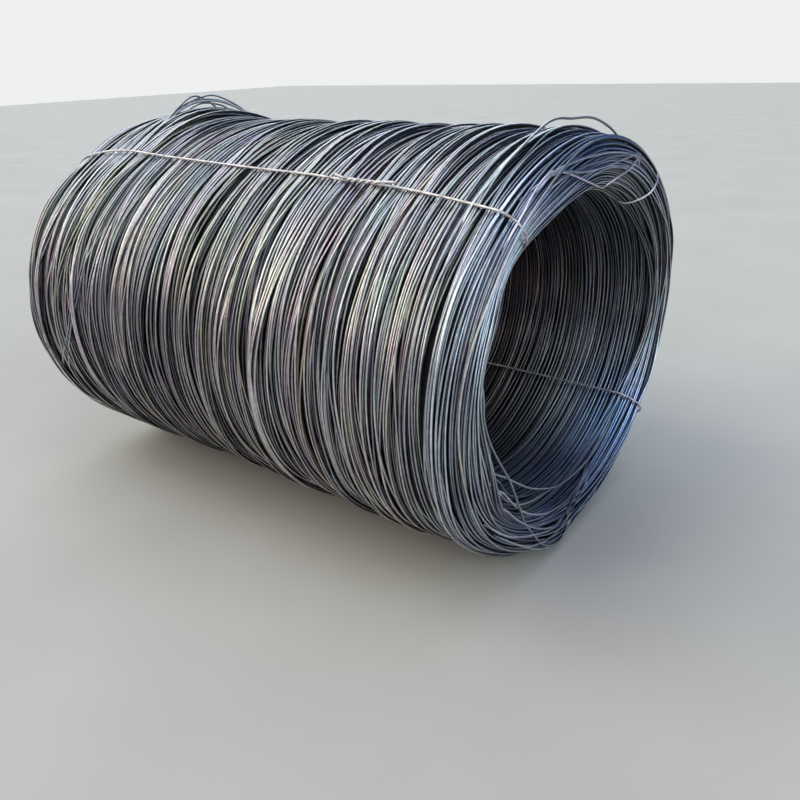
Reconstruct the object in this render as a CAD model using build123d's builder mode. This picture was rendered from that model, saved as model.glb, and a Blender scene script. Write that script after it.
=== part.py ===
from build123d import *
from math import ceil, cos, pi, radians, sin, sqrt
import os

# A coil of hot-rolled wire rod lying on its side. Its own weight has sagged it to an oval,
# and two tie wires, twisted off on the outside, hold the wound wall together.
# The coil's axis is X, +Z is up and the floor is z = 0, under the middle of the coil.
# All sizes are in millimetres.

# The rod and the wound coil
rod_diameter = 6.5
coil_length = 1750.0        # end to end along the axis
outer_width = 1354.0        # across the sagged oval, along Y
outer_height = 1150.0       # floor to crown of the sagged oval
wall = 150.0                # thickness of the wound wall, outside to bore
end_turn_pitch = 22.0       # widest spacing of the turns that show on the rounded ends

# The loose turns, which stand up off the crown and go back into the wall on both sides
loose_radius = 420.0
loose_reach = 66.0          # degrees from the top of a loose turn to where it is inside the wall
far_loose_inset = 215.0     # along X, in from the far end
far_loose_aside = 65.0      # along Y
far_loose_rise = 70.0       # above the crown
far_loose_lean = 8.0        # degrees that it is turned out of square with the axis
low_loose_inset = 185.0
low_loose_aside = 60.0
low_loose_rise = 48.0
low_loose_lean = -4.0
near_loose_inset = 115.0    # in from the near end
near_loose_aside = 20.0
near_loose_rise = 38.0
near_loose_lean = -5.0

# The tie wires
tie_diameter = 6.5
tie_clearance = 0.3         # between a tie and the turns it holds
upper_tie_direction = 119.6     # degrees from +Y round to +Z, where its outer run lies
upper_tie_skew = -3.2           # degrees that it slants across the coil
upper_knot_place = 394.0        # along the tie from the middle of the coil
lower_tie_direction = -49.8
lower_tie_skew = -0.6
lower_knot_place = 300.0
wire_sides = 8              # the wire is drawn as an octagon, to keep it light
bend_steps = 8              # straight pieces in a tie's half turn round a rounded end

# The knot of a tie, where its two ends are twisted round each other and cut off
twist_length = 100.0
twist_turns = 1.5           # half a turn more than a whole number, so each end leaves on top
twist_steps = 18            # straight pieces in a twisted end
strand_gap = 0.5
near_tail = 85.0            # the cut end that points towards +X
far_tail = 55.0             # the one that points towards -X
tail_rise = 12.0            # degrees that the cut ends stand off from the coil
tail_swing = 4.0            # degrees that they point aside

# The oval is four tangent arcs, a quarter turn each. The centres of the two side arcs lie
# arc_shift out from the axis, and those of the crown and belly arcs as far past the axis.
quarter = 90
half_length = coil_length / 2
half_width = outer_width / 2
half_height = outer_height / 2
arc_shift = (half_width - half_height) / (2 - sqrt(2))
side_radius = half_width - arc_shift
crown_radius = half_height + arc_shift
nose_radius = wall / 2


def outward(direction):
    """Unit vector out of the coil, for a direction in degrees from +Y round to +Z."""
    return Vector(0, cos(radians(direction)), sin(radians(direction)))


def faces_up_or_down(direction):
    """True where the crown or the belly arc faces a direction."""
    return abs(sin(radians(direction))) > abs(cos(radians(direction)))


def arc_centre(direction):
    """Centre of the arc of the oval that faces a direction."""
    if faces_up_or_down(direction):
        side = 1 if sin(radians(direction)) > 0 else -1
        return Vector(0, 0, half_height - side * arc_shift)
    side = 1 if cos(radians(direction)) > 0 else -1
    return Vector(0, side * arc_shift, half_height)


def arc_radius(direction):
    """Outer radius of that arc."""
    return crown_radius if faces_up_or_down(direction) else side_radius


# The coil is one wound solid. The section of its wall is a slot with a full round nose at
# each end, where the turns show as crests one rod high. It is drawn once for each arc and
# turned through a quarter.
def nose_turns():
    """Crests and valleys of the turns on the +X nose, from the bore round to the outside."""
    count = 2 * ceil(pi * nose_radius / (2 * end_turn_pitch))   # even, so one is at the tip
    step = 180 / count
    low = nose_radius - rod_diameter
    points = []
    for turn in range(count):
        crest = radians(-90 + step * turn)
        valley = radians(-90 + step * (turn + 0.5))
        points.append((nose_radius * cos(crest), nose_radius * sin(crest)))
        points.append((low * cos(valley), low * sin(valley)))
    points.append((0, nose_radius))
    return points


def wall_outline(radius):
    """Outline of the wall's section, for an arc with this outer radius."""
    nose_x = half_length - nose_radius
    middle = radius - nose_radius
    near_nose = [(nose_x + x, middle + y) for x, y in nose_turns()]
    far_nose = [(-x, y) for x, y in reversed(near_nose)]
    Polyline(*near_nose, *far_nose, close=True)


def loose_turn(place, aside, rise, lean):
    """The part of a loose turn that stands up off the crown, with both its feet in the wall."""
    centre = Vector(place, aside, outer_height + rise - loose_radius)
    axis = Vector(1, 0, 0).rotate(Axis((0, 0, 0), (0, 0, 1)), lean)
    foot = Vector(0, 0, 1).rotate(Axis((0, 0, 0), axis), -loose_reach)
    with BuildSketch(Plane(origin=centre + foot * loose_radius, z_dir=axis.cross(foot))) as section:
        RegularPolygon(rod_diameter / 2, wire_sides)
    revolve(section.sketch, axis=Axis(centre, axis), revolution_arc=2 * loose_reach)


with BuildPart() as coil:
    for arc in range(4):
        centre = arc_centre(arc * quarter)
        start = outward((arc - 0.5) * quarter)
        across = Vector(1, 0, 0).cross(start)
        with BuildSketch(Plane(origin=centre, x_dir=(1, 0, 0), z_dir=across)):
            with BuildLine():
                wall_outline(arc_radius(arc * quarter))
            make_face()
        revolve(axis=Axis(centre, (1, 0, 0)), revolution_arc=quarter)
    loose_turn(far_loose_inset - half_length, far_loose_aside, far_loose_rise, far_loose_lean)
    loose_turn(low_loose_inset - half_length, low_loose_aside, low_loose_rise, low_loose_lean)
    loose_turn(half_length - near_loose_inset, near_loose_aside, near_loose_rise, near_loose_lean)
coil.part.label = "coil"

# A tie wire goes along the outside, round one end, back through the bore and round the other
# end. Its two ends meet on the outside, where they are twisted together and cut off.
seat = tie_diameter / 2 + tie_clearance
out_run = nose_radius + seat
twist_radius = (tie_diameter + strand_gap) / 2


def tie_plane(direction, skew):
    """Plane of a tie's loop: x along the coil, y out of it, origin in the wall's middle."""
    out = outward(direction)
    middle = arc_centre(direction) + out * (arc_radius(direction) - nose_radius)
    along = Vector(1, 0, 0).rotate(Axis((0, 0, 0), out), skew)
    return Plane(origin=middle, x_dir=along, z_dir=along.cross(out))


def bore_run(direction, skew):
    """How far the run in the bore lies from the wall's middle, clear of the bore's curve."""
    aside = half_length * sin(radians(skew))
    return out_run + aside**2 / (2 * (arc_radius(direction) - wall))


def end_bend(nose_x, bore_y, side):
    """Corners of a tie's half turn round an end, from the outside to the bore."""
    bend = (out_run + bore_y) / 2
    drop = (out_run - bore_y) / 2
    half_piece = 180 / bend_steps / 2
    corner = bend / cos(radians(half_piece))
    points = []
    for piece in range(bend_steps):
        turned = radians(half_piece * (2 * piece + 1))
        points.append((side * (nose_x + corner * sin(turned)), drop + corner * cos(turned), 0))
    return points


def twisted_end(knot_place, side, tail_length):
    """Corners of one end of a tie: it winds up round the other end and goes off to a side."""
    points = []
    for piece in range(twist_steps + 1):
        wound = piece / twist_steps
        turned = 2 * pi * twist_turns * wound
        along = knot_place + side * twist_length * (wound - 0.5)
        rise = twist_radius * (1 - cos(turned))
        points.append((along, out_run + rise, side * twist_radius * sin(turned)))
    along, up, aside = points[-1]
    rise = tail_length * sin(radians(tail_rise))
    swing = tail_length * sin(radians(tail_swing))
    points.append((along + side * tail_length * cos(radians(tail_rise)), up + rise, aside + side * swing))
    return points


def tie(direction, skew, knot_place):
    """A tie wire that lies tight round the wall, with its knot on the outside."""
    bore_y = bore_run(direction, skew)
    nose_x = (half_length - nose_radius) / cos(radians(skew))
    with BuildPart() as wire:
        with BuildLine(tie_plane(direction, skew)) as loop:
            Polyline(
                *reversed(twisted_end(knot_place, 1, near_tail)),
                *end_bend(nose_x, bore_y, -1),
                *reversed(end_bend(nose_x, bore_y, 1)),
                *twisted_end(knot_place, -1, far_tail),
            )
        path = loop.wire()
        with BuildSketch(Plane(origin=path @ 0, z_dir=path % 0)):
            RegularPolygon(tie_diameter / 2, wire_sides)
        sweep(path=path, transition=Transition.RIGHT)
    return wire


upper_tie = tie(upper_tie_direction, upper_tie_skew, upper_knot_place)
upper_tie.part.label = "upper_tie"
lower_tie = tie(lower_tie_direction, lower_tie_skew, lower_knot_place)
lower_tie.part.label = "lower_tie"

os.makedirs("parts", exist_ok=True)
export_step(coil.part, "parts/coil.step")
export_step(upper_tie.part, "parts/upper_tie.step")
export_step(lower_tie.part, "parts/lower_tie.step")
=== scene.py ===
import math

import bmesh
import bpy
import numpy as np
from mathutils import Matrix, Vector


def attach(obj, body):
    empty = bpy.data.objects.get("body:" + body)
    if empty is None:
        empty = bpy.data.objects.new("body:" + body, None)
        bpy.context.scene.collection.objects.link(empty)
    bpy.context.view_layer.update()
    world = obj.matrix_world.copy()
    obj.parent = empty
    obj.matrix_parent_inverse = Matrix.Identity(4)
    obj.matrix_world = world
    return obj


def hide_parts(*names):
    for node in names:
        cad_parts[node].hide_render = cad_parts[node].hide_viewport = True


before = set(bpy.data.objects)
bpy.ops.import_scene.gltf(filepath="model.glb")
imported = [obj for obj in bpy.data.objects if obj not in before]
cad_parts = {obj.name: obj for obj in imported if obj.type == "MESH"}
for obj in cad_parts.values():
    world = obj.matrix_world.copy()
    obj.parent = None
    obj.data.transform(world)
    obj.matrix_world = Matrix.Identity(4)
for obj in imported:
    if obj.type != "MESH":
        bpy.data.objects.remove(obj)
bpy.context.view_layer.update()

# A coil of hot-rolled wire rod that lies on its side. Lengths are in metres. X runs along the
# coil's axis and +Z is up. The wall of the coil is a slot-shaped section, straight outside and
# in the bore and round at both ends, that goes once round an oval. Every turn of the rod is
# placed by three numbers: s, how far round the section it lies, how deep in the wall, and the
# angle round the oval. The turns are tubes on lines worked out one by one, because hundreds of
# them rest on each other and no two lie the same.

# The sizes of the coil and its wire
COIL_LENGTH = 1.750
HALF_WIDTH = 0.677
HALF_HEIGHT = 0.575
WALL = 0.150
NOSE = WALL / 2
ROD = 0.0065
TIE = 0.0065

# The oval is four tangent arcs
ARC_SHIFT = (HALF_WIDTH - HALF_HEIGHT) / (2 - math.sqrt(2))
SIDE_RADIUS = HALF_WIDTH - ARC_SHIFT
CROWN_RADIUS = HALF_HEIGHT + ARC_SHIFT

# Where round the section each stretch of it starts: the outside at nothing, then these
RUN = COIL_LENGTH - 2 * NOSE
TURN_OF_NOSE = math.pi * NOSE
NEAR_NOSE = RUN
BORE = RUN + TURN_OF_NOSE
FAR_NOSE = 2 * RUN + TURN_OF_NOSE
ROUND_SECTION = 2 * (RUN + TURN_OF_NOSE)


# The oval and the section

def oval(angle):
    """Centre and radius of the arc of the oval that faces an angle, and its outward normal."""
    y, z = np.cos(angle), np.sin(angle)
    crown = np.abs(z) > np.abs(y)
    centre_y = np.where(crown, 0.0, np.sign(y) * ARC_SHIFT)
    centre_z = HALF_HEIGHT + np.where(crown, -np.sign(z) * ARC_SHIFT, 0.0)
    radius = np.where(crown, CROWN_RADIUS, SIDE_RADIUS)
    return centre_y, centre_z, radius, y, z


def angle_apart(a, b):
    """How far two angles lie apart, the short way round."""
    return np.abs((a - b + math.pi) % (2 * math.pi) - math.pi)


def spot(s, angle, place, degrees, along, round_way):
    """One at a place of the wall, falling off to nothing along the coil and round it."""
    apart = np.abs(s - place)
    apart = np.minimum(apart, ROUND_SECTION - apart)
    turned = np.degrees(angle_apart(angle, math.radians(degrees)))
    return np.exp(-0.5 * (apart / along) ** 2 - 0.5 * (turned / round_way) ** 2)


def rises(s, start, over):
    """Nothing before a start, then one after it."""
    return np.clip((s - start) / over, 0, 1)


def falls(s, end, over):
    """One before an end, then nothing after it."""
    return np.clip((end - s) / over, 0, 1)


def section(s, depth):
    """Where along X and how far in from the oval a point of the wall is, and its normal."""
    s = np.mod(s, ROUND_SECTION)
    reach = NOSE - depth
    near = (s - NEAR_NOSE) / NOSE
    far = (s - FAR_NOSE) / NOSE
    half = RUN / 2
    x = np.where(s < NEAR_NOSE, s - half, 0.0)
    inset = np.where(s < NEAR_NOSE, depth, 0.0)
    normal_x = np.zeros_like(s)
    normal_out = np.where(s < NEAR_NOSE, 1.0, 0.0)
    on_near = (s >= NEAR_NOSE) & (s < BORE)
    x = np.where(on_near, half + reach * np.sin(near), x)
    inset = np.where(on_near, NOSE - reach * np.cos(near), inset)
    normal_x = np.where(on_near, np.sin(near), normal_x)
    normal_out = np.where(on_near, np.cos(near), normal_out)
    in_bore = (s >= BORE) & (s < FAR_NOSE)
    x = np.where(in_bore, half - (s - BORE), x)
    inset = np.where(in_bore, WALL - depth, inset)
    normal_out = np.where(in_bore, -1.0, normal_out)
    on_far = s >= FAR_NOSE
    x = np.where(on_far, -half - reach * np.sin(far), x)
    inset = np.where(on_far, NOSE + reach * np.cos(far), inset)
    normal_x = np.where(on_far, -np.sin(far), normal_x)
    normal_out = np.where(on_far, -np.cos(far), normal_out)
    return x, inset, normal_x, normal_out


def in_wall(s, depth, angle):
    """Points of the wall, and the wall's outward normals there."""
    x, inset, normal_x, normal_out = section(s, depth)
    centre_y, centre_z, radius, y, z = oval(angle)
    reach = radius - inset
    places = np.stack([x, centre_y + reach * y, centre_z + reach * z], -1)
    normals = np.stack([normal_x, normal_out * y, normal_out * z], -1)
    return places, normals


# How the turns lie

STATIONS = 96               # places round the oval at which a turn is worked out
ROUND = np.arange(STATIONS) * 2 * math.pi / STATIONS
SPACING_ERROR = 0.13        # how far out of its place a turn lies, in spacings
BUNCHING = 0.06             # how much closer the turns of a bundle may lie
CALM_IN_BORE = 0.65         # how much less the turns swing down the bore
UNRULY_AT_FAR_END = 1.2     # how much more each turn swings at the far end


def waves(rng, count, most, size):
    """Slow random swings round the oval, one row for each turn or bundle."""
    swing = np.zeros((count, STATIONS))
    for number in range(1, most + 1):
        weight = rng.normal(0, 1, (count, 2)) / number ** 0.7
        swing += weight[:, :1] * np.cos(number * ROUND) + weight[:, 1:] * np.sin(number * ROUND)
    return swing * size / math.sqrt(most)


def bundles(rng, count, fewest, most):
    """The number of the bundle that each turn is in."""
    owner = []
    while len(owner) < count:
        owner += [owner[-1] + 1 if owner else 0] * int(rng.integers(fewest, most + 1))
    return np.array(owner[:count])


def places_round(outside_pitch, end_pitch, bore_pitch):
    """Places round the section at these spacings outside, on the ends and in the bore."""
    fine = np.linspace(0, ROUND_SECTION, 6000)
    pitch = np.where(fine < NEAR_NOSE, outside_pitch, end_pitch)
    pitch = np.where((fine >= BORE) & (fine < FAR_NOSE), bore_pitch, pitch)
    run = np.concatenate([[0], np.cumsum(np.diff(fine) / pitch[1:])])
    count = int(run[-1])
    return np.interp(np.arange(count) * run[-1] / count, run, fine)


def wind_layer(rng, pitches, bundle_swing, own_swing, fewest=2, most=7):
    """Where round the section each turn of a layer lies, at each station, and its bundle."""
    start = places_round(*pitches)
    count = len(start)
    owner = bundles(rng, count, fewest, most)
    number = owner[-1] + 1
    start = start + rng.normal(0, pitches[0] * SPACING_ERROR, count)
    swing = waves(rng, number, 3, bundle_swing)[owner]
    squeeze = 1 - BUNCHING * np.abs(waves(rng, number, 2, 1.0)[owner])
    middle = np.array([start[owner == b].mean() for b in range(number)])[owner]
    lie = middle[:, None] + (start - middle)[:, None] * squeeze
    down_bore = rises(start, BORE - 0.10, 0.2) * falls(start, FAR_NOSE, 0.2)
    calm = 1 - CALM_IN_BORE * down_bore[:, None]
    unruly = 1 + UNRULY_AT_FAR_END * falls(start, 0.40, 0.2)[:, None]
    return lie + (swing + waves(rng, count, 5, own_swing) * unruly) * calm, owner


def smooth_round(rows, spread):
    """Rows smoothed round the oval, over so many stations."""
    far = int(spread * 3) + 1
    steps = np.arange(-far, far + 1)
    weight = np.exp(-0.5 * (steps / spread) ** 2)
    weight /= weight.sum()
    return sum(w * np.roll(rows, k, axis=-1) for w, k in zip(weight, steps))


def highest_round(row, reach):
    """At each station, the highest of a row there and beside it."""
    return np.max([np.roll(row, k) for k in range(-reach, reach + 1)], axis=0)


def fewer(rows, stations):
    """Rows read at fewer places round the oval."""
    if stations == STATIONS:
        return rows
    place = np.arange(stations) * STATIONS / stations
    low = np.floor(place).astype(int) % STATIONS
    share = place - np.floor(place)
    return rows[:, low] * (1 - share) + rows[:, (low + 1) % STATIONS] * share


def stack(rng, layers):
    """Lays every turn on those already laid, and gives the height of each at each station."""
    at = np.zeros((0, STATIONS))
    high = np.zeros((0, STATIONS))
    heights = []
    for lie, owner in layers:
        laid = len(at)
        at = np.concatenate([at, np.zeros_like(lie)])
        high = np.concatenate([high, np.zeros_like(lie)])
        rise = np.zeros_like(lie)
        order = rng.permutation(owner[-1] + 1)
        for turn in (t for bundle in order for t in np.flatnonzero(owner == bundle)):
            apart = np.abs(at[:laid] - lie[turn])
            apart = np.minimum(apart, ROUND_SECTION - apart)
            lift = np.sqrt(np.maximum(ROD ** 2 - apart ** 2, 0))
            rest = np.where(apart < ROD, high[:laid] + lift, 0).max(0, initial=0)
            rise[turn] = smooth_round(highest_round(rest, 1), 1.6)
            at[laid] = lie[turn]
            high[laid] = rise[turn]
            laid += 1
        heights.append(rise)
    return heights


# Rods as tubes

UNDERSIDE_SHADE = (0.06, 0.14, 1.0)   # how much of its colour a rod keeps under, beside and on top: painted shade towards the wall and on its flanks


def unit(v):
    """Vectors of length one."""
    return v / np.maximum(np.linalg.norm(v, axis=-1, keepdims=True), 1e-12)


def in_scene(name, mesh):
    """A new object of the scene."""
    piece = bpy.data.objects.new(name, mesh)
    bpy.context.scene.collection.objects.link(piece)
    return piece


def part_of(piece, material, node):
    """Finishes a piece, and puts it in the place of a node of the frame."""
    piece.data.materials.append(material)
    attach(piece, "root")
    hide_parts(node)


def rod_mesh(name, paths, normals, thickness, sides, tints, underside_shading=1.0, closed=True):
    """One mesh of many rods, each with as many points. Their undersides and flanks are darkened as
    painted shade.
    """
    count, steps, _ = paths.shape
    if closed:
        along = unit(np.roll(paths, -1, 1) - np.roll(paths, 1, 1))
    else:
        along = unit(np.gradient(paths, axis=1))
    up = unit(normals - (normals * along).sum(-1, keepdims=True) * along)
    side = np.cross(along, up)
    turned = (np.arange(sides) + 0.5) * 2 * math.pi / sides
    ring = (up[:, :, None] * np.cos(turned)[:, None] + side[:, :, None] * np.sin(turned)[:, None])
    points = paths[:, :, None] + ring * thickness / 2
    index = np.arange(count * steps * sides).reshape(count, steps, sides)
    ahead = np.roll(index, -1, 1) if closed else index[:, 1:]
    here = index if closed else index[:, :-1]
    faces = np.stack([here, np.roll(here, -1, 2), np.roll(ahead, -1, 2), ahead], -1)
    faces = faces.reshape(-1, 4).tolist()
    if not closed:
        faces += index[:, 0, ::-1].tolist() + index[:, -1].tolist()
    mesh = bpy.data.meshes.new(name)
    mesh.from_pydata(points.reshape(-1, 3).tolist(), [], faces)
    mesh.polygons.foreach_set("use_smooth", np.ones(len(faces), bool))
    colour = np.ones((count, steps, sides, 4), np.float32)
    # Painted shade: each rod's colour is darker towards the wall and on its flanks
    unshaded = np.interp(np.cos(turned), (-1, 0, 0.85), UNDERSIDE_SHADE)
    colour[..., :3] = tints[:, :, None] * (1 - underside_shading * (1 - unshaded))[:, None]
    layer = mesh.color_attributes.new("tint", "FLOAT_COLOR", "POINT")
    layer.data.foreach_set("color", colour.ravel())
    mesh.update()
    return in_scene(name, mesh)


# Colours of the mill scale

# The tints that turns have, with the share of the turns for each: steel grey, slate, pale grey,
# near black, olive, mauve, straw and worn bright
SCALE_TINTS = (
    (0.430, 0.445, 0.465), (0.330, 0.350, 0.390), (0.560, 0.565, 0.575), (0.210, 0.225, 0.260),
    (0.410, 0.450, 0.360), (0.470, 0.400, 0.450), (0.560, 0.480, 0.410), (0.700, 0.710, 0.725),
)
SCALE_SHARES = (0.20, 0.14, 0.19, 0.12, 0.11, 0.08, 0.06, 0.10)
WARMTH = np.array((1.11, 1.08, 1.07))

# What the tints are multiplied by: a bluer near end, partly a painted blue reflection; painted shade
# and browner scale down the bore; painted shade low at the far end; and deeper painted shade down
# the bore on a share of the turns
NEAR_BLUE_AND_SHEEN = np.array((0.81, 0.91, 1.01))
BORE_SHADE_AND_BROWN = np.array((0.50, 0.42, 0.44))
FAR_LOW_SHADE = np.array((0.74, 0.71, 0.74))
DEEPER_BORE_SHADE = 0.55
MORE_SHADED_TURNS = 0.5           # share of the turns with deeper painted shade down the bore

# Single places of the near end with painted shade, bluer where a blue reflection is painted: metres
# round the section, degrees round the oval, how far it reaches both ways, and what it multiplies
# the tints by
SHADE_AND_REFLECTION_SPOTS = (
    (1.80, 300, 0.10, 16, (0.52, 0.70, 1.06)),
    (1.80, 42, 0.09, 22, (0.40, 0.37, 0.38)),
    (1.68, 92, 0.07, 16, (0.54, 0.68, 0.83)),
    (1.74, 245, 0.08, 22, (0.62, 0.64, 0.78)),
)


def scale_tints(rng, owner, shade_level=1.0):
    """A colour of mill scale for each turn, much the same within a bundle. A level below one
    paints shade on the turns of the lower layers.
    """
    tones = np.array(SCALE_TINTS)
    number = owner[-1] + 1
    of_bundle = tones[rng.choice(len(tones), number, p=SCALE_SHARES)][owner]
    of_turn = tones[rng.choice(len(tones), len(owner), p=SCALE_SHARES)]
    share = rng.uniform(0.25, 0.75, (len(owner), 1))
    tint = of_bundle * (1 - share) + of_turn * share
    return tint * rng.uniform(0.80, 1.25, (len(owner), 1)) * shade_level * WARMTH


def along_turns(rng, tints, s, angle):
    """The turns' colours at their stations: bluer at the near end, partly as a painted reflection,
    with painted shade down the bore, low at the far end and at single places of the near end.
    """
    worn = smooth_round(rng.normal(0, 0.30, (len(tints), STATIONS)), 1.5)
    change = 1 + fewer(waves(rng, len(tints), 6, 0.10) + worn, s.shape[1])
    colours = tints[:, None] * np.clip(change, 0.5, 1.6)[..., None]
    s = np.mod(s, ROUND_SECTION)
    # Where the near end's blue and its painted reflection lie, and where painted shade falls down the
    # bore and low at the far end
    blue = rises(s, 1.52, 0.12) * falls(s, 2.25, 0.35)
    bore_shade = rises(s, 1.88, 0.35) * falls(s, FAR_NOSE, 0.2)
    far_low_shade = falls(s, 1.25, 0.5) * np.clip(1.6 * np.cos(angle - math.radians(230)), 0, 1)
    shade_and_reflection = [(spot(s, angle, *where), np.array(cast)) for *where, cast in SHADE_AND_REFLECTION_SPOTS]
    for share, cast in [(blue, NEAR_BLUE_AND_SHEEN), (bore_shade, BORE_SHADE_AND_BROWN), (far_low_shade, FAR_LOW_SHADE)] + shade_and_reflection:
        colours = colours * (1 + share[..., None] * (cast - 1))
    more_shaded = rng.random((len(tints), 1)) < MORE_SHADED_TURNS
    return colours * (1 - DEEPER_BORE_SHADE * bore_shade * more_shaded)[..., None]


# Materials

def new_material(name):
    """A material with its nodes, its links and its shader."""
    material = bpy.data.materials.new(name)
    material.use_nodes = True
    nodes = material.node_tree.nodes
    return material, nodes, material.node_tree.links, nodes["Principled BSDF"]


def noise(nodes, links, scale, detail):
    """A noise on the piece's own coordinates."""
    place = nodes.new("ShaderNodeTexCoord")
    pattern = nodes.new("ShaderNodeTexNoise")
    pattern.inputs["Scale"].default_value = scale
    pattern.inputs["Detail"].default_value = detail
    links.new(place.outputs["Object"], pattern.inputs["Vector"])
    return pattern


def tones(nodes, links, pattern, dark, light, ends=(0.0, 1.0)):
    """Colours from dark to light, where a pattern goes from one level to another."""
    ramp = nodes.new("ShaderNodeValToRGB")
    for stop, level, colour in zip(ramp.color_ramp.elements, ends, (dark, light)):
        stop.position = level
        stop.color = (*colour, 1)
    links.new(pattern.outputs["Fac"], ramp.inputs["Fac"])
    return ramp.outputs["Color"]


def bumps(nodes, links, pattern, shader, strength, height):
    """Fine relief from a pattern."""
    bump = nodes.new("ShaderNodeBump")
    bump.inputs["Strength"].default_value = strength
    bump.inputs["Distance"].default_value = height
    links.new(pattern.outputs["Fac"], bump.inputs["Height"])
    links.new(bump.outputs["Normal"], shader.inputs["Normal"])


def blended(nodes, links, way, share, first, second):
    """Two colours laid over each other."""
    mix = nodes.new("ShaderNodeMix")
    mix.data_type = "RGBA"
    mix.blend_type = way
    mix.inputs["Factor"].default_value = share
    links.new(first, mix.inputs["A"])
    links.new(second, mix.inputs["B"])
    return mix.outputs["Result"]


def mill_scale():
    """Blue-grey scale of hot-rolled rod: satin, mottled along the rod, with fine bump."""
    material, nodes, links, shader = new_material("mill scale")
    # The tint attribute holds each turn's colour with its painted shade and painted blue reflection
    tint = nodes.new("ShaderNodeAttribute")
    tint.attribute_name = "tint"
    patches = noise(nodes, links, 60, 4)
    heat = noise(nodes, links, 11, 3)
    flakes = noise(nodes, links, 420, 3)
    mottle = tones(nodes, links, patches, (0.80, 0.80, 0.81), (1.16, 1.16, 1.17), (0.30, 0.72))
    mottled = blended(nodes, links, "MULTIPLY", 1, tint.outputs["Color"], mottle)
    heated = blended(nodes, links, "OVERLAY", 0.16, mottled, heat.outputs["Color"])
    links.new(heated, shader.inputs["Base Color"])
    shine = nodes.new("ShaderNodeMapRange")
    shine.inputs["To Min"].default_value = 0.21
    shine.inputs["To Max"].default_value = 0.41
    links.new(flakes.outputs["Fac"], shine.inputs["Value"])
    links.new(shine.outputs["Result"], shader.inputs["Roughness"])
    bumps(nodes, links, flakes, shader, 0.25, 0.0006)
    shader.inputs["Metallic"].default_value = 0.88
    return material


def wall_shade():
    """Painted shade between the turns: a near-black, faintly mottled sheet."""
    material, nodes, links, shader = new_material("dark between turns")
    shade = noise(nodes, links, 60, 2)
    colour = tones(nodes, links, shade, (0.008, 0.008, 0.010), (0.030, 0.028, 0.030))
    links.new(colour, shader.inputs["Base Color"])
    shader.inputs["Roughness"].default_value = 0.8
    return material


def bare_wire():
    """Bare drawn wire of the ties, dull silver-grey and rubbed."""
    material, nodes, links, shader = new_material("bare tie wire")
    rub = noise(nodes, links, 45, 5)
    colour = tones(nodes, links, rub, (0.36, 0.32, 0.33), (0.66, 0.65, 0.66), (0.32, 0.60))
    links.new(colour, shader.inputs["Base Color"])
    bumps(nodes, links, rub, shader, 0.3, 0.0005)
    shader.inputs["Metallic"].default_value = 0.55
    shader.inputs["Roughness"].default_value = 0.42
    return material


def pale_floor():
    """A plain pale floor, faintly uneven in tone."""
    material, nodes, links, shader = new_material("pale floor")
    stain = noise(nodes, links, 1.5, 8)
    colour = tones(nodes, links, stain, (0.37, 0.36, 0.34), (0.46, 0.45, 0.43))
    links.new(colour, shader.inputs["Base Color"])
    shader.inputs["Roughness"].default_value = 0.9
    return material


MILL_SCALE = mill_scale()
WALL_SHADE = wall_shade()
BARE_WIRE = bare_wire()


# The wound turns

# Three layers and a few strays. Each has its spacings outside, on the ends and in the bore, then
# how far its bundles and its single turns swing
rng = np.random.default_rng(65)
deep = wind_layer(rng, (0.0150, 0.0150, 0.0150), 0.012, 0.003)
middle = wind_layer(rng, (0.0090, 0.0096, 0.0130), 0.014, 0.0035)
top = wind_layer(rng, (0.0083, 0.0084, 0.0125), 0.016, 0.0035)
stray = wind_layer(rng, (0.0500, 0.0600, 0.3000), 0.004, 0.017, 1, 2)
deep_high, middle_high, top_high, stray_high = stack(rng, [deep, middle, top, stray])
SURFACE = np.percentile(top_high, 80)

# Routes of the two ties

# Metres round the section, and degrees round the oval
UPPER_TIE = ((-0.16, 121.0), (-0.06, 121.0), (0.00, 119.2), (0.04, 117.2), (0.18, 116.3), (0.50, 117.4),
             (0.80, 118.6), (1.03, 119.1), (1.16, 120.1), (1.29, 120.4), (1.42, 121.6), (1.56, 123.2),
             (1.62, 124.1), (1.70, 124.0), (1.80, 123.6), (2.10, 122.6), (2.60, 121.5), (3.10, 120.5),
             (3.40, 120.6), (3.511, 121.0), (3.611, 121.0), (3.671, 119.2))
LOWER_TIE = ((-0.10, -50.4), (0.00, -50.4), (0.40, -50.0), (0.80, -49.8), (1.10, -49.6), (1.50, -49.2),
             (1.65, -48.8), (1.72, -49.0), (1.76, -49.4), (1.84, -49.6), (2.10, -49.5), (2.30, -49.5),
             (2.80, -49.9), (3.10, -50.2), (3.45, -50.4), (3.571, -50.4), (3.671, -50.4))


def tie_angle(route, s):
    """Where round the oval a tie lies, for places round the section."""
    at, degrees = np.array(route)[:-1].T
    points = np.concatenate([at - ROUND_SECTION, at, at + ROUND_SECTION])
    order = np.argsort(points)
    fine = np.linspace(-0.4, ROUND_SECTION + 0.4, 900)
    line = np.interp(fine, points[order], np.tile(degrees, 3)[order])
    spread = np.exp(-0.5 * (np.arange(-24, 25) / 8) ** 2)
    line = np.convolve(np.pad(line, 24, "edge"), spread / spread.sum(), "valid")
    return np.radians(np.interp(s, fine, line))


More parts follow.
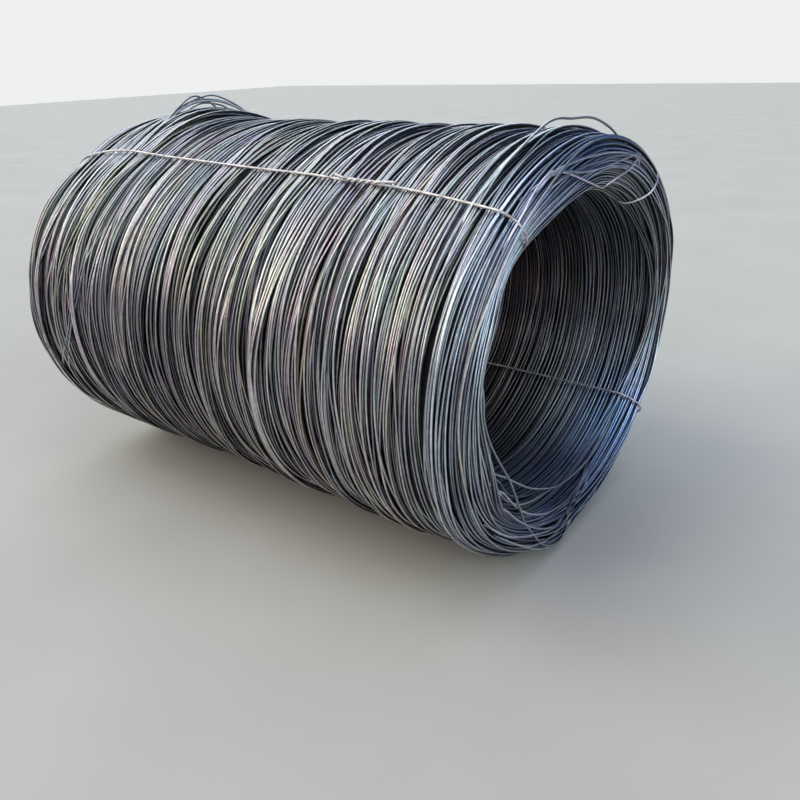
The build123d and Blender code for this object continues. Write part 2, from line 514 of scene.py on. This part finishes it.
# Where the wall stands out or lies low: metres round the section, degrees round the oval, how far
# that reaches both ways, and how high
SWELLS = (
    (0.17, 90, 0.11, 15, 0.030), (1.775, 243, 0.045, 15, -0.020), (1.685, 257, 0.035, 7, 0.018),
    (1.78, 128, 0.07, 9.5, -0.025), (1.79, 194, 0.06, 15, 0.026), (1.79, 83, 0.06, 7, -0.010),
)
BILLOW = 0.0045             # how high the small swells and hollows are
BILLOWS = 14                # how many waves they are made of
STANDS_OUT = 0.012          # how far a turn may stand out of the wall
TIE_HOLDS = 4.5             # degrees to each side of a tie that it holds the turns down
UNDER_TIE = 0.0005          # how far the turns are held below the wall's surface
OFF_FLOOR = 0.0002


def swell(s, angle):
    """How far the wall stands out at its slack places."""
    out = np.zeros(np.broadcast(s, angle).shape)
    for *where, high in SWELLS:
        out += high * spot(s, angle, *where)
    return out


def unevenness(rng, s, angle):
    """Small swells and hollows of the wall, where bundles of turns stand out or lie low."""
    uneven = np.zeros(np.broadcast(s, angle).shape)
    for _ in range(BILLOWS):
        cycles = rng.integers(8, 30)
        twist = rng.integers(-2, 3)
        phase, lean = rng.uniform(0, 2 * math.pi, 2)
        uneven += np.cos(cycles * 2 * math.pi * s / ROUND_SECTION + twist * angle + phase
                         + 0.8 * np.sin(angle + lean)) / math.sqrt(BILLOWS)
    return uneven


def settle(lie, high):
    """The depth of every turn at every station."""
    angle = ROUND[None]
    s = np.mod(lie, ROUND_SECTION)
    depth = ROD / 2 + SURFACE - high - BILLOW * unevenness(np.random.default_rng(7), s, angle)
    depth = np.maximum(depth, ROD / 2 - STANDS_OUT) - swell(s, angle)
    for route in (UPPER_TIE, LOWER_TIE):
        near = angle_apart(angle, tie_angle(route, s))
        held = np.exp(-0.5 * (near / math.radians(TIE_HOLDS)) ** 2)
        depth = depth + held * np.maximum(ROD / 2 + UNDER_TIE - depth, 0)
    return smooth_round(depth, 0.8)


def turns_piece(name, layer, high, ends, stations, sides, shade_level, seed):
    """The turns of a layer that lie on one stretch of the section, as one piece."""
    lie, owner = layer
    start = np.mod(lie.mean(1), ROUND_SECTION)
    keep = (start >= ends[0]) & (start < ends[1])
    angle = np.arange(stations) * 2 * math.pi / stations
    s = fewer(lie[keep], stations)
    depth = fewer(settle(lie, high)[keep], stations)
    places, normals = in_wall(s, depth, angle[None])
    places[..., 2] = np.maximum(places[..., 2], ROD / 2 + OFF_FLOOR)
    rng = np.random.default_rng(seed)
    tints = scale_tints(rng, owner, shade_level)[keep]
    piece = rod_mesh(name, places, normals, ROD, sides, along_turns(rng, tints, s, angle))
    part_of(piece, MILL_SCALE, "coil")


STRETCHES = {
    "far_outside": (0.0, RUN / 2),
    "near_outside": (RUN / 2, NEAR_NOSE),
    "near_end": (NEAR_NOSE, BORE),
    "bore": (BORE, FAR_NOSE),
    "far_end": (FAR_NOSE, ROUND_SECTION),
}
# The number before the seed is a level that paints shade: the second and deep layers are darker than the
# top one, as painted shade under it
for part, ends in STRETCHES.items():
    turns_piece(part + "_turns", top, top_high, ends, 96, 6, 1.0, 11)
    turns_piece(part + "_second_turns", middle, middle_high, ends, 80, 5, 0.70, 12)
    turns_piece(part + "_deep_turns", deep, deep_high, ends, 48, 3, 0.40, 13)
turns_piece("stray_turns", stray, stray_high, (0.0, ROUND_SECTION), 96, 6, 1.05, 14)


# The dark inside of the wall, a sheet of painted shade

def wall_inside():
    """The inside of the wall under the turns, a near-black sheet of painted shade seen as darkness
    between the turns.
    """
    s = np.arange(120) * ROUND_SECTION / 120
    angle = np.arange(72) * 2 * math.pi / 72
    grid_s, grid_angle = np.meshgrid(s, angle, indexing="ij")
    below_turns = ROD / 2 + SURFACE + 0.004
    places, _ = in_wall(grid_s, below_turns - swell(grid_s, grid_angle), grid_angle)
    index = np.arange(grid_s.size).reshape(grid_s.shape)
    ahead = np.roll(index, -1, 0)
    faces = np.stack([index, ahead, np.roll(ahead, -1, 1), np.roll(index, -1, 1)], -1)
    mesh = bpy.data.meshes.new("wall_inside")
    mesh.from_pydata(places.reshape(-1, 3).tolist(), [], faces.reshape(-1, 4).tolist())
    shell = bmesh.new()
    shell.from_mesh(mesh)
    bmesh.ops.recalc_face_normals(shell, faces=shell.faces)
    shell.to_mesh(mesh)
    shell.free()
    part_of(in_scene("wall_inside", mesh), WALL_SHADE, "coil")


wall_inside()


# The ties

def smooth_line(points, count):
    """A Catmull-Rom line through points, read at count places evenly along it."""
    p = np.array(points, float)
    p = np.concatenate([[2 * p[0] - p[1]], p, [2 * p[-1] - p[-2]]])
    out = []
    for i in range(1, len(p) - 2):
        t = np.linspace(0, 1, 24, endpoint=False)[:, None]
        a, b, c, d = p[i - 1], p[i], p[i + 1], p[i + 2]
        out.append(0.5 * (2 * b + (c - a) * t + (2 * a - 5 * b + 4 * c - d) * t ** 2
                          + (3 * b - a - 3 * c + d) * t ** 3))
    line = np.concatenate(out + [p[-2:-1]])
    run = np.concatenate([[0], np.cumsum(np.linalg.norm(np.diff(line, axis=0), axis=1))])
    at = np.linspace(0, run[-1], count)
    return np.stack([np.interp(at, run, line[:, k]) for k in range(line.shape[1])], -1)


STRAND_GAP = 0.0003         # between the two strands of a knot
OFF_WALL = 0.0006           # between a tie and the turns under it
TWIST = 0.110               # length of a knot
TWIST_TURNS = 2.5
KNOT_TAILS = (0.070, 0.035)     # lengths of the cut ends

# How a cut end leaves its knot, in shares of its length: along, out and round
TAIL_ALONG = np.array((0.15, 0.40, 0.70, 1.00))
TAIL_OUT = np.array((0.02, 0.07, 0.13, 0.19))
TAIL_ROUND = np.array((0.00, 0.02, 0.06, 0.11))


def knot_strand(route, start, side, tail):
    """One end of a tie: it winds round the other end and goes off to a side."""
    offset = (TIE + STRAND_GAP) / 2
    wound = np.linspace(0, 1, 40)
    turned = 2 * math.pi * TWIST_TURNS * wound
    s = start + side * TWIST * wound
    depth = offset * np.cos(turned) - TIE / 2 - OFF_WALL - offset
    angle = tie_angle(route, s) + side * offset * np.sin(turned) / CROWN_RADIUS
    end_s = s[-1] + side * tail * TAIL_ALONG
    end_angle = angle[-1] + side * tail * TAIL_ROUND + tie_angle(route, end_s) - tie_angle(route, s[-1:])
    end = np.stack([end_s, depth[-1] - tail * TAIL_OUT, end_angle], -1)
    return np.concatenate([np.stack([s, depth, angle], -1), end])


def tie_path(route, knot_at):
    """Middle line of a tie: a tail, the twist, the long way round the wall, the twist, a tail."""
    start = knot_at - TWIST / 2
    end = knot_at + TWIST / 2
    first = knot_strand(route, start, 1, KNOT_TAILS[0])
    last = knot_strand(route, end, -1, KNOT_TAILS[1])
    last[:, 0] -= ROUND_SECTION
    way = np.linspace(start - 0.01, end + 0.01 - ROUND_SECTION, 300)
    on_wall = np.full_like(way, -TIE / 2 - OFF_WALL)
    round_wall = np.stack([way, on_wall, tie_angle(route, np.mod(way, ROUND_SECTION))], -1)
    s, depth, angle = np.concatenate([first[::-1], round_wall, last]).T
    return in_wall(s, depth - swell(np.mod(s, ROUND_SECTION), angle), angle)


def tie_piece(name, route, knot_at, node):
    """A tie wire with its knot."""
    places, normals = tie_path(route, knot_at)
    plain = np.ones((1, len(places), 3))
    piece = rod_mesh(name, places[None], normals[None], TIE, 10, plain, underside_shading=0.0, closed=False)
    part_of(piece, BARE_WIRE, node)


# The loose strands

# Each is a few listed points: metres round the section, degrees round the oval, and how far it
# stands off the wall, in metres
LOOSE_STRANDS = {
    "near_arch": ((1.545, 124, 0.003), (1.550, 118, 0.004), (1.551, 113, 0.005), (1.555, 108, 0.011),
                  (1.559, 103, 0.021), (1.563, 98, 0.033), (1.566, 94, 0.035), (1.570, 89, 0.028),
                  (1.574, 84, 0.030), (1.578, 80, 0.031), (1.582, 75, 0.026), (1.586, 70, 0.018),
                  (1.590, 63, 0.004)),
    "kinked": ((1.662, 122, 0.003), (1.657, 117, 0.004), (1.655, 112.5, 0.005), (1.660, 110, 0.006),
               (1.680, 107.5, 0.005), (1.700, 105, 0.004), (1.730, 100.5, 0.004), (1.770, 91.5, 0.004),
               (1.787, 85.5, 0.006), (1.775, 84.5, 0.006), (1.750, 80.5, 0.004), (1.732, 77, 0.004),
               (1.705, 73.5, 0.004), (1.676, 70, 0.003)),
    "hooked": ((1.650, 68, 0.002), (1.660, 62, 0.005), (1.667, 57.5, 0.006), (1.690, 57, 0.006),
               (1.716, 58, 0.005), (1.745, 59, 0.004), (1.780, 61, 0.004), (1.818, 63, 0.003)),
    "near_fan_1": ((1.660, 114, 0.003), (1.664, 109, 0.004), (1.673, 104.5, 0.005), (1.681, 100, 0.005),
                   (1.690, 94, 0.005), (1.694, 88, 0.005), (1.695, 79, 0.004), (1.695, 73, 0.003)),
    "near_fan_2": ((1.684, 110, 0.003), (1.691, 105, 0.004), (1.699, 99, 0.005), (1.705, 94, 0.005),
                   (1.704, 88, 0.005), (1.702, 82, 0.005), (1.691, 72, 0.003)),
    "near_fan_3": ((1.660, 112, 0.003), (1.677, 107.5, 0.005), (1.703, 102.5, 0.005), (1.718, 96, 0.005),
                   (1.721, 89, 0.005), (1.713, 83, 0.005), (1.700, 77, 0.004), (1.678, 70, 0.003)),
    "far_loop_1": ((0.180, 107, 0.004), (0.174, 103, 0.021), (0.169, 100, 0.037), (0.163, 97, 0.054),
                   (0.158, 94, 0.070), (0.153, 92, 0.077), (0.149, 90, 0.076), (0.144, 87.5, 0.064),
                   (0.140, 85, 0.048), (0.135, 80, 0.010)),
    "far_loop_2": ((0.164, 101, 0.025), (0.160, 97, 0.045), (0.154, 93, 0.061), (0.148, 89.5, 0.070),
                   (0.141, 86, 0.078), (0.135, 83, 0.077), (0.129, 80, 0.070), (0.123, 76.5, 0.061),
                   (0.116, 73, 0.052), (0.109, 69, 0.040), (0.100, 62, 0.005)),
    "far_loop_3": ((0.162, 103, 0.020), (0.159, 98, 0.044), (0.155, 93, 0.061), (0.151, 88, 0.065),
                   (0.149, 84, 0.064), (0.146, 80, 0.057), (0.144, 76, 0.047), (0.141, 71, 0.038),
                   (0.136, 64, 0.008)),
    "far_loop_4": ((0.170, 102, 0.016), (0.166, 98, 0.038), (0.161, 93, 0.054), (0.158, 88, 0.059),
                   (0.156, 84, 0.059), (0.153, 80, 0.052), (0.150, 76, 0.043), (0.148, 71, 0.034),
                   (0.144, 64, 0.006)),
    "far_loop_5": ((0.104, 93, 0.020), (0.108, 88, 0.047), (0.110, 85, 0.053), (0.113, 82, 0.051),
                   (0.116, 79, 0.044), (0.120, 74, 0.020)),
    "hanging": ((0.030, 187, 0.003), (0.040, 193, 0.006), (0.055, 200, 0.012), (0.075, 206, 0.017),
                (0.090, 212, 0.018), (0.100, 218, 0.010), (0.102, 223, 0.004), (0.102, 229, 0.002)),
    "crossed_1": ((0.290, 148, 0.000), (0.284, 157, 0.003), (0.272, 164.5, 0.004), (0.252, 170, 0.004),
                  (0.232, 174, 0.005), (0.215, 178.5, 0.005), (0.195, 182, 0.005), (0.165, 186, 0.005),
                  (0.130, 190.5, 0.004), (0.080, 197, 0.003)),
    "crossed_2": ((0.300, 152, 0.000), (0.294, 160, 0.003), (0.282, 166.5, 0.004), (0.262, 171.5, 0.004),
                  (0.240, 176, 0.005), (0.215, 181, 0.005), (0.190, 185.5, 0.005), (0.160, 190.5, 0.004),
                  (0.120, 197, 0.003)),
    "fallen": ((1.765, 170, 0.004), (1.774, 178, 0.010), (1.780, 188, 0.024), (1.787, 198.5, 0.040),
               (1.792, 211.5, 0.051), (1.791, 218, 0.051), (1.785, 226.5, 0.039), (1.770, 232, 0.022),
               (1.750, 236.5, 0.008), (1.730, 241, 0.005), (1.705, 246, 0.006), (1.681, 251.5, 0.012),
               (1.672, 256, 0.019), (1.675, 259.5, 0.019), (1.685, 261.5, 0.015), (1.705, 262, 0.008),
               (1.730, 261.5, 0.008), (1.745, 261.5, 0.012), (1.765, 266, 0.012), (1.780, 274, 0.004)),
    "sagging": ((1.800, 205, 0.015), (1.808, 215, 0.035), (1.812, 225, 0.050), (1.813, 233, 0.055),
                (1.812, 241, 0.052), (1.811, 248, 0.048), (1.809, 255.5, 0.040), (1.807, 262, 0.031),
                (1.806, 270.5, 0.024), (1.804, 279, 0.020), (1.802, 288, 0.006)),
    "slack_1": ((1.782, 218, 0.018), (1.779, 224, 0.022), (1.775, 229, 0.020), (1.770, 236, 0.017),
                (1.768, 243, 0.015), (1.767, 250, 0.014), (1.769, 256, 0.014), (1.771, 262, 0.014),
                (1.775, 268, 0.010), (1.780, 275, 0.003)),
    "slack_2": ((1.757, 225, 0.006), (1.750, 231, 0.009), (1.745, 237, 0.008), (1.737, 243.5, 0.006),
                (1.729, 250, 0.005), (1.728, 255, 0.005), (1.735, 258, 0.006), (1.746, 260.5, 0.010),
                (1.757, 264, 0.012), (1.768, 271, 0.004)),
    "slack_3": ((1.790, 208, 0.015), (1.796, 216, 0.027), (1.803, 226, 0.024), (1.813, 234, 0.018),
                (1.825, 245, 0.014), (1.835, 254, 0.009), (1.846, 263, 0.003)),
    "slack_4": ((1.772, 210, 0.008), (1.778, 218, 0.014), (1.787, 228, 0.010), (1.800, 239, 0.006),
                (1.811, 248, 0.006), (1.820, 256, 0.003)),
    "slack_5": ((1.704, 228, 0.004), (1.712, 234, 0.007), (1.720, 241, 0.007), (1.722, 247, 0.007),
                (1.723, 252, 0.007), (1.731, 255.5, 0.008), (1.742, 258.5, 0.011), (1.753, 262, 0.012),
                (1.764, 269, 0.004)),
    "slack_6": ((1.690, 240, 0.006), (1.695, 248, 0.010), (1.702, 254, 0.009), (1.712, 257.5, 0.008),
                (1.725, 260.5, 0.008), (1.738, 263, 0.011), (1.750, 267, 0.010), (1.760, 274, 0.003)),
    "slack_7": ((1.672, 248, 0.008), (1.668, 256, 0.017), (1.668, 261, 0.016), (1.678, 263.5, 0.008),
                (1.698, 264, 0.004), (1.714, 266, 0.002), (1.710, 272, 0.003), (1.706, 278, 0.003)),
}


FOOT_STEP = 1.5             # how far a strand's foot lies past its last point, in last steps
FOOT_DEPTH = 0.020          # and how deep in the wall

# Where painted shade darkens the strands: metres round the section, degrees round the oval, how far
# that reaches both ways, and how much darker they are
STRAND_SHADE = ((1.74, 262, 0.09, 14, 0.45), (1.755, 263, 0.030, 5, 0.60), (0.26, 168, 0.08, 14, 0.45))


def with_feet(points):
    """The points of a strand, carried on at both ends until it is inside the wall."""
    points = np.array(points)
    first = points[0] + (points[0] - points[1]) * FOOT_STEP
    last = points[-1] + (points[-1] - points[-2]) * FOOT_STEP
    first[2], last[2] = -FOOT_DEPTH, -FOOT_DEPTH
    return np.concatenate([[first], points, [last]])


def loose_strands():
    """The strands that have come away from the wall."""
    paths, normals, unshaded = [], [], []
    for points in LOOSE_STRANDS.values():
        s, degrees, proud = with_feet(points).T
        places, normal = in_wall(s, -proud, np.radians(degrees))
        at = np.stack([s, np.radians(degrees)], 1)
        line = smooth_line(np.concatenate([places, normal, at], 1), 100)
        paths.append(line[:, :3])
        normals.append(line[:, 3:6])
        # Painted shade on the strands where the list above puts it
        left = np.ones(len(line))
        for *where, shade in STRAND_SHADE:
            left = left * (1 - shade * spot(line[:, 6], line[:, 7], *where))
        unshaded.append(left)
    tints = scale_tints(np.random.default_rng(15), np.arange(len(paths)), 1.15)
    # The strands take half of the near end's blue, with its painted reflection, and their painted shade
    tints = tints[:, None] * NEAR_BLUE_AND_SHEEN ** 0.5 * np.array(unshaded)[..., None]
    paths, normals = np.array(paths), np.array(normals)
    piece = rod_mesh("loose_strands", paths, normals, ROD, 8, tints, underside_shading=0.6, closed=False)
    part_of(piece, MILL_SCALE, "coil")


loose_strands()
tie_piece("upper_tie_wire", UPPER_TIE, 1.200, "upper_tie")
tie_piece("lower_tie_wire", LOWER_TIE, 1.100, "lower_tie")


# Floor, light and camera

bpy.ops.object.select_all(action="DESELECT")
bpy.ops.mesh.primitive_plane_add(size=60, location=(0, 0, 0))
floor = bpy.context.object
floor.name = "floor"
floor.data.materials.append(pale_floor())

world = bpy.context.scene.world or bpy.data.worlds.new("sky")
bpy.context.scene.world = world
world.use_nodes = True
nodes, links = world.node_tree.nodes, world.node_tree.links
nodes.clear()
sky = nodes.new("ShaderNodeBackground")
sky.inputs["Color"].default_value = (0.10, 0.25, 1.0, 1)
sky.inputs["Strength"].default_value = 0.22
pale = nodes.new("ShaderNodeBackground")
pale.inputs["Color"].default_value = (0.86, 0.87, 0.88, 1)
pale.inputs["Strength"].default_value = 1.0
seen = nodes.new("ShaderNodeLightPath")
choose = nodes.new("ShaderNodeMixShader")
out = nodes.new("ShaderNodeOutputWorld")
links.new(seen.outputs["Is Camera Ray"], choose.inputs[0])
links.new(sky.outputs[0], choose.inputs[1])
links.new(pale.outputs[0], choose.inputs[2])
links.new(choose.outputs[0], out.inputs["Surface"])


def soft_light(name, energy, colour, direction):
    """A broad soft light from far off, which shines in a direction."""
    sun = bpy.data.lights.new(name, "SUN")
    sun.angle = math.radians(60)
    sun.energy = energy
    sun.color = colour
    holder = in_scene(name, sun)
    holder.rotation_euler = Vector(direction).to_track_quat("-Z", "Y").to_euler()


soft_light("key", 2.45, (1.0, 0.95, 0.76), (0.65, 0.55, -0.65))
soft_light("near end", 1.70, (0.85, 1.0, 0.96), (-0.90, 0.10, -0.45))
soft_light("overhead", 1.25, (0.90, 0.92, 1.0), (0.0, 0.0, -1.0))
soft_light("behind", 1.40, (0.86, 1.0, 0.94), (0.60, -0.60, -0.50))
soft_light("front", 0.45, (1.0, 0.70, 0.35), (0.0, 0.90, -0.45))

# The camera, fitted to the outline of the coil. The image is 800 pixels wide
IMAGE_WIDTH = 800
LENS_PIXELS = 758.18
CAMERA_PLACE = (1.65078, -1.86110, 1.33651)
LOOKS_DOWN = math.radians(24.4604)
LEANS = math.radians(-1.9516)
TURNED = math.radians(37.8553)

ahead = np.array([-math.sin(TURNED) * math.cos(LOOKS_DOWN), math.cos(TURNED) * math.cos(LOOKS_DOWN),
                  -math.sin(LOOKS_DOWN)])
level = unit(np.cross(ahead, (0, 0, 1.0)))
upright = np.cross(level, ahead)
view = np.eye(4)
view[:3, 0] = level * math.cos(LEANS) + upright * math.sin(LEANS)
view[:3, 1] = upright * math.cos(LEANS) - level * math.sin(LEANS)
view[:3, 2] = -ahead
view[:3, 3] = CAMERA_PLACE
camera = bpy.data.cameras.new("camera")
camera.sensor_width = 36
camera.lens = LENS_PIXELS * camera.sensor_width / IMAGE_WIDTH
eye = in_scene("camera", camera)
eye.matrix_world = Matrix(view.tolist())
bpy.context.scene.camera = eye
bpy.context.scene.view_settings.view_transform = "Standard"
